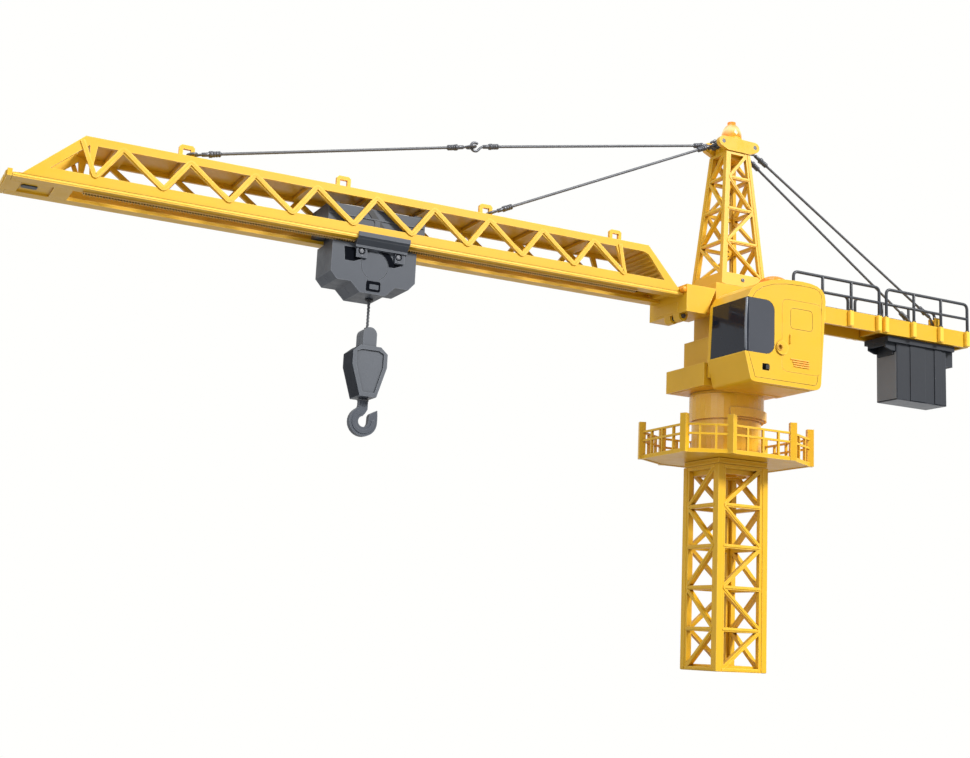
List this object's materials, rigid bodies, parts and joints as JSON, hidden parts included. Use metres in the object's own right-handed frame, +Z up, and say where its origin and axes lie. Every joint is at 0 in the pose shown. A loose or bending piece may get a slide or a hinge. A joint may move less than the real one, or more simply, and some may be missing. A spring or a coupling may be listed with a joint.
{
  "type": "toy tower crane",
  "caption": "Slewing tower crane toy: lattice mast section, cab, jib with travelling trolley and hook on a rope, counter-jib with ballast, stays and beacon.",
  "frame": {"origin": "centre of the mast's bottom face, on the slewing axis", "axes": "+Z up along the mast; the jib runs along -X, the counter-jib along +X and the cab hangs on the -Y side, in the pose shown"},
  "size_m": [0.8394, 0.134, 0.465],
  "materials": {
    "yellow_plastic": "satin",
    "slate_plastic": "satin",
    "steel_wire": "satin",
    "motor_can": "satin",
    "gear_nylon": "satin",
    "smoked_window": "gloss",
    "amber_lens": "gloss",
    "roof_lamp_amber": "gloss",
    "black_plastic": "satin",
    "board_green": "satin",
    "ballast_iron": "matte"
  },
  "bodies": {
    "tower": {"mast_half_near": "yellow_plastic", "mast_half_far": "yellow_plastic", "mast_foot_frame": "yellow_plastic", "mast_collar": "yellow_plastic", "platform_deck": "yellow_plastic", "platform_railing": "yellow_plastic", "slew_column": "yellow_plastic", "slew_ring_gear": "gear_nylon"},
    "superstructure": {"slew_turntable": "yellow_plastic", "turret_base": "yellow_plastic", "slew_motor": "motor_can", "battery_pack": "slate_plastic", "turret_neck": "yellow_plastic", "circuit_board": "board_green", "jib_root_block": "yellow_plastic", "jib_root_pin": "steel_wire", "cab_shell": "yellow_plastic", "cab_door": "yellow_plastic", "cab_inner_cover": "yellow_plastic", "cab_side_window": "smoked_window", "cab_front_window": "smoked_window", "cab_roof_lamp": "roof_lamp_amber", "tower_head": "yellow_plastic", "head_cap": "yellow_plastic", "head_pin_front": "steel_wire", "head_pin_back": "steel_wire", "beacon_base": "yellow_plastic", "beacon_lens": "amber_lens", "jib_side_near": "yellow_plastic", "jib_side_far": "yellow_plastic", "jib_top_plate": "yellow_plastic", "jib_tip": "yellow_plastic", "jib_rack": "yellow_plastic", "counter_jib": "yellow_plastic", "guard_rail_near_inner": "slate_plastic", "guard_rail_near_outer": "slate_plastic", "guard_rail_far_inner": "slate_plastic", "guard_rail_far_outer": "slate_plastic", "counterweight_box": "slate_plastic", "counterweight_ballast": "ballast_iron", "forestay_outer": "steel_wire", "forestay_inner": "steel_wire", "forestay_lower": "steel_wire", "backstay_near": "steel_wire", "backstay_far": "steel_wire"},
    "slew_gear": {"slew_pinion": "gear_nylon"},
    "switch": {"power_switch": "black_plastic"},
    "trolley": {"trolley_shell_near": "slate_plastic", "trolley_shell_far": "slate_plastic", "drum_cover": "slate_plastic", "trolley_saddle_near": "slate_plastic", "trolley_saddle_far": "slate_plastic", "hoist_motor": "motor_can", "travel_motor": "motor_can"},
    "travel_gear": {"travel_pinion": "gear_nylon"},
    "drum": {"hoist_drum": "gear_nylon"},
    "rope": {"hoist_rope": "steel_wire"},
    "hook_block": {"hook_block_near": "slate_plastic", "hook_block_far": "slate_plastic"},
    "hook": {"hook": "slate_plastic"}
  },
  "joints": [
    {"name": "slew", "type": "hinge", "parent": "tower", "child": "superstructure", "pos_m": [0, 0, 0.2222], "axis": [0, 0, 1], "range_deg": [-340, 340]},
    {"name": "slew_pinion_spin", "type": "hinge", "parent": "superstructure", "child": "slew_gear", "pos_m": [0.0168, 0, 0.2126], "axis": [0, 0, 1], "range_deg": [-1365, 1365]},
    {"name": "power_slide", "type": "slide", "parent": "superstructure", "child": "switch", "axis": [1, 0, 0], "range_m": [-0.0028, 0]},
    {"name": "trolley_travel", "type": "slide", "parent": "superstructure", "child": "trolley", "axis": [1, 0, 0], "range_m": [-0.155, 0.186]},
    {"name": "travel_pinion_spin", "type": "hinge", "parent": "trolley", "child": "travel_gear", "pos_m": [-0.30491, 0, 0.2904], "axis": [0, 1, 0], "range_deg": [-2140, 1785]},
    {"name": "rope_swing", "type": "hinge", "parent": "trolley", "child": "rope", "pos_m": [-0.3225, 0, 0.2583], "axis": [0, 1, 0], "range_deg": [-25, 25]},
    {"name": "hoist", "type": "slide", "parent": "rope", "child": "hook_block", "axis": [0, 0, 1], "range_m": [-0.15, 0.018], "deforming": ["hoist_rope"]},
    {"name": "drum_turn", "type": "hinge", "parent": "trolley", "child": "drum", "pos_m": [-0.3285, 0, 0.2795], "axis": [0, 1, 0], "range_deg": [-180, 1440]},
    {"name": "hook_swivel", "type": "hinge", "parent": "hook_block", "child": "hook", "pos_m": [-0.3225, 0, 0.19], "axis": [0, 0, 1], "continuous": true}
  ],
  "couplings": [
    {"joint": "slew_pinion_spin", "follows": "slew", "ratio": -4},
    {"joint": "travel_pinion_spin", "follows": "trolley_travel", "rad_per_m": -200},
    {"joint": "drum_turn", "follows": "hoist", "rad_per_m": -166.67}
  ]
}
